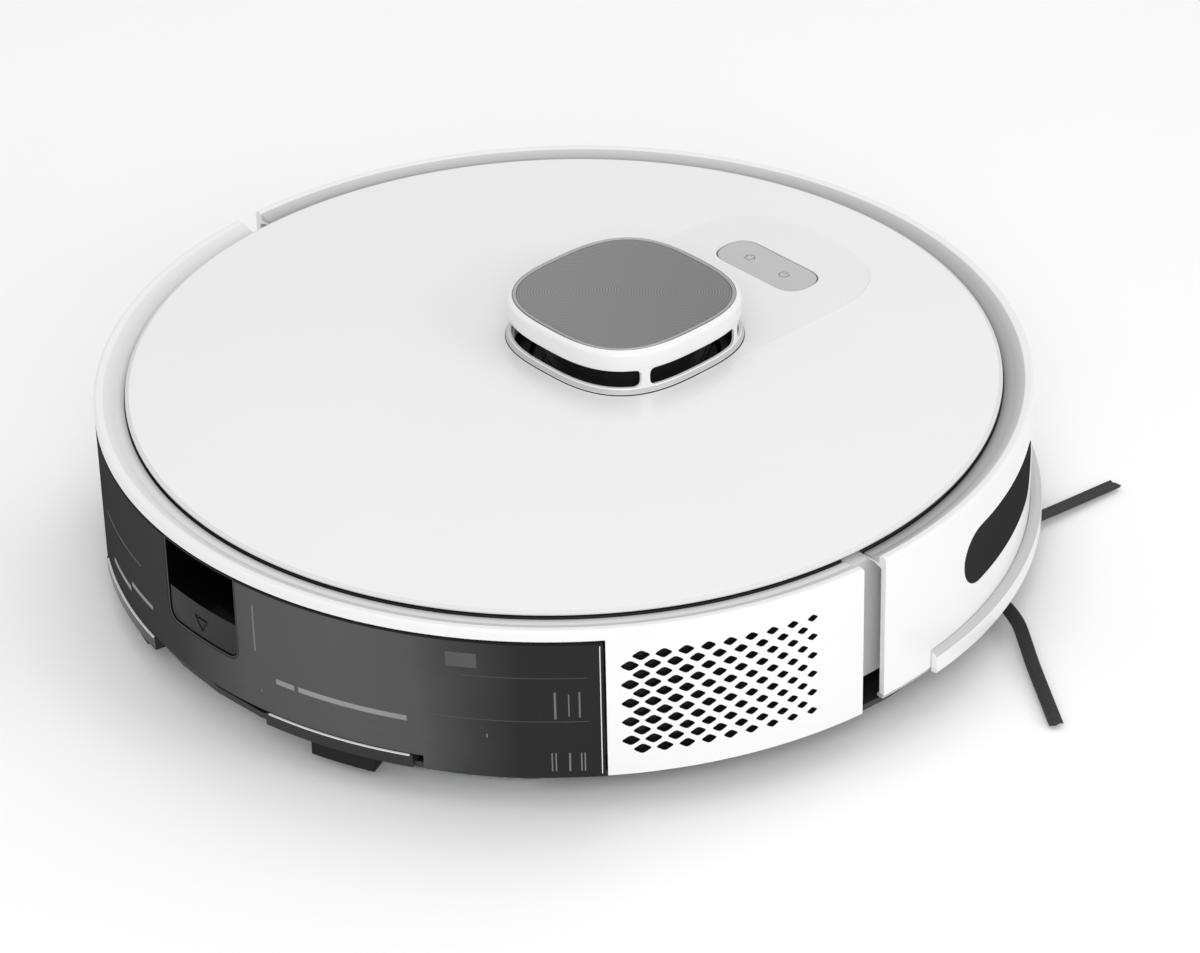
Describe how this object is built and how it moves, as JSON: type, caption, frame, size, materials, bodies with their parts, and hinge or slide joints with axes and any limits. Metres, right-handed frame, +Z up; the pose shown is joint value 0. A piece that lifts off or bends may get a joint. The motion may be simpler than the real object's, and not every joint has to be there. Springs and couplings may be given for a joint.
{
  "type": "robot vacuum cleaner",
  "caption": "Round self-driving floor cleaner with a laser turret, sprung bumper, side brush, roller brush, drive wheels, rear dust bin and mop pad.",
  "frame": {"origin": "on the floor, under the centre of the round body", "axes": "+Z up, -Y is straight ahead (the bumper side), +X is the robot's left; the dust bin is at +Y"},
  "size_m": [0.3854, 0.3495, 0.0945],
  "materials": {
    "white_shell": "glossy moulded white",
    "grey_inset": "satin grey with fine concentric lines",
    "pad_grey": "satin light grey",
    "grey_trim": "satin mid grey",
    "dark_plastic": "fine moulded grain",
    "sensor_black": "polished infrared window",
    "bin_smoke": "polished dark smoke",
    "bristle": "nylon",
    "rubber": "soft matt",
    "tyre": "treaded matt rubber",
    "steel": "drawn steel",
    "contact_metal": "nickel plate",
    "circuit_board": "solder mask",
    "battery_wrap": "shrink wrap",
    "filter_paper": "pleated filter paper",
    "mop_fabric": "microfibre pile",
    "lens": "polished lens"
  },
  "bodies": {
    "chassis": {"chassis_base": "dark_plastic", "upper_housing": "white_shell", "top_deck": "dark_plastic", "top_plate": "white_shell", "turret_cover": "white_shell", "turret_inset": "grey_inset", "lidar_base": "dark_plastic", "lidar_motor": "steel", "lidar_belt": "rubber", "battery_pack": "battery_wrap", "battery_cover": "dark_plastic", "cover_screw": "steel", "main_board": "circuit_board", "cliff_window_front_left": "sensor_black", "cliff_window_front_right": "sensor_black", "cliff_window_side_left": "sensor_black", "cliff_window_side_right": "sensor_black", "bumper_switch_left": "dark_plastic", "bumper_switch_right": "dark_plastic", "charging_contact_left": "contact_metal", "charging_contact_right": "contact_metal", "suspension_spring_left": "steel", "suspension_spring_right": "steel", "side_brush_motor": "dark_plastic", "brush_guard": "dark_plastic", "brush_motor": "steel", "brush_gearbox": "dark_plastic", "blower_housing": "dark_plastic"},
    "button": {"rocker_pad": "pad_grey"},
    "lidar_head": {"lidar_rotor": "dark_plastic", "lidar_emitter_lens": "lens", "lidar_receiver_lens": "lens"},
    "lidar_drive": {"lidar_pulley": "grey_trim"},
    "bumper": {"bumper_shell": "white_shell", "bumper_skirt": "white_shell", "bumper_strip": "grey_trim", "wall_sensor_window": "sensor_black", "front_sensor_window": "sensor_black"},
    "arm_left": {"wheel_arm_left": "dark_plastic"},
    "arm_right": {"wheel_arm_right": "dark_plastic"},
    "wheel_left": {"wheel_hub_left": "grey_trim", "wheel_tyre_left": "tyre"},
    "wheel_right": {"wheel_hub_right": "grey_trim", "wheel_tyre_right": "tyre"},
    "caster_swivel_fork": {"caster_fork": "dark_plastic"},
    "caster_roller": {"caster_wheel": "pad_grey"},
    "side_brush": {"side_brush_hub": "dark_plastic", "side_brush_bristles_1": "bristle", "side_brush_bristles_2": "bristle", "side_brush_bristles_3": "bristle"},
    "main_brush": {"main_brush_roller": "rubber"},
    "impeller": {"blower_impeller": "grey_trim"},
    "bin": {"bin_shell": "bin_smoke", "bin_lid": "dark_plastic", "bin_filter_frame": "grey_trim", "bin_filter": "filter_paper"},
    "bin_latch": {"bin_latch_button": "dark_plastic"},
    "bin_flap": {"bin_intake_flap": "rubber"},
    "mop": {"mop_bracket": "dark_plastic", "mop_cloth": "mop_fabric"}
  },
  "joints": [
    {"name": "bumper_press", "type": "slide", "parent": "chassis", "child": "bumper", "axis": [0, 1, 0], "range_m": [0, 0.004], "stiffness_N_per_m": 500, "springref_m": -0.003},
    {"name": "button_rock", "type": "hinge", "parent": "chassis", "child": "button", "pos_m": [0, -0.1042, 0.073], "axis": [0, 1, 0], "range_deg": [-2, 2], "stiffness_Nm_per_rad": 0.5},
    {"name": "lidar_spin", "type": "hinge", "parent": "chassis", "child": "lidar_head", "pos_m": [0, -0.0306, 0.08], "axis": [0, 0, 1], "continuous": true},
    {"name": "lidar_motor_spin", "type": "hinge", "parent": "chassis", "child": "lidar_drive", "pos_m": [0, -0.0766, 0.068], "axis": [0, 0, 1], "continuous": true},
    {"name": "suspension_left", "type": "hinge", "parent": "chassis", "child": "arm_left", "pos_m": [0.097, -0.034, 0.038], "axis": [-1, 0, 0], "range_deg": [0, 22], "deforming": ["suspension_spring_left"]},
    {"name": "suspension_right", "type": "hinge", "parent": "chassis", "child": "arm_right", "pos_m": [-0.097, -0.034, 0.038], "axis": [-1, 0, 0], "range_deg": [0, 22], "deforming": ["suspension_spring_right"]},
    {"name": "wheel_spin_left", "type": "hinge", "parent": "arm_left", "child": "wheel_left", "pos_m": [0.112, 0, 0.0325], "axis": [1, 0, 0], "continuous": true},
    {"name": "wheel_spin_right", "type": "hinge", "parent": "arm_right", "child": "wheel_right", "pos_m": [-0.112, 0, 0.0325], "axis": [1, 0, 0], "continuous": true},
    {"name": "caster_swivel", "type": "hinge", "parent": "chassis", "child": "caster_swivel_fork", "pos_m": [0, -0.138, 0.03], "axis": [0, 0, 1], "continuous": true},
    {"name": "caster_roll", "type": "hinge", "parent": "caster_swivel_fork", "child": "caster_roller", "pos_m": [0, -0.1315, 0.0125], "axis": [1, 0, 0], "continuous": true},
    {"name": "side_brush_spin", "type": "hinge", "parent": "chassis", "child": "side_brush", "pos_m": [-0.1273, -0.0801, 0.008], "axis": [0, 0, 1], "continuous": true},
    {"name": "main_brush_spin", "type": "hinge", "parent": "chassis", "child": "main_brush", "pos_m": [0, 0.02, 0.022], "axis": [1, 0, 0], "continuous": true},
    {"name": "blower_spin", "type": "hinge", "parent": "chassis", "child": "impeller", "pos_m": [-0.106, 0.08, 0.045], "axis": [0, 0, 1], "continuous": true},
    {"name": "bin_slide", "type": "slide", "parent": "chassis", "child": "bin", "axis": [0, 1, 0], "range_m": [0, 0.11]},
    {"name": "latch_press", "type": "slide", "parent": "bin", "child": "bin_latch", "axis": [0, -1, 0], "range_m": [0, 0.0025], "stiffness_N_per_m": 300, "springref_m": -0.002},
    {"name": "intake_flap_swing", "type": "hinge", "parent": "bin", "child": "bin_flap", "pos_m": [0, 0.0779, 0.0474], "axis": [1, 0, 0], "range_deg": [0, 60]},
    {"name": "mop_slide", "type": "slide", "parent": "chassis", "child": "mop", "axis": [0, 1, 0], "range_m": [0, 0.1]}
  ],
  "couplings": [
    {"joint": "lidar_motor_spin", "follows": "lidar_spin", "ratio": 7.5}
  ]
}
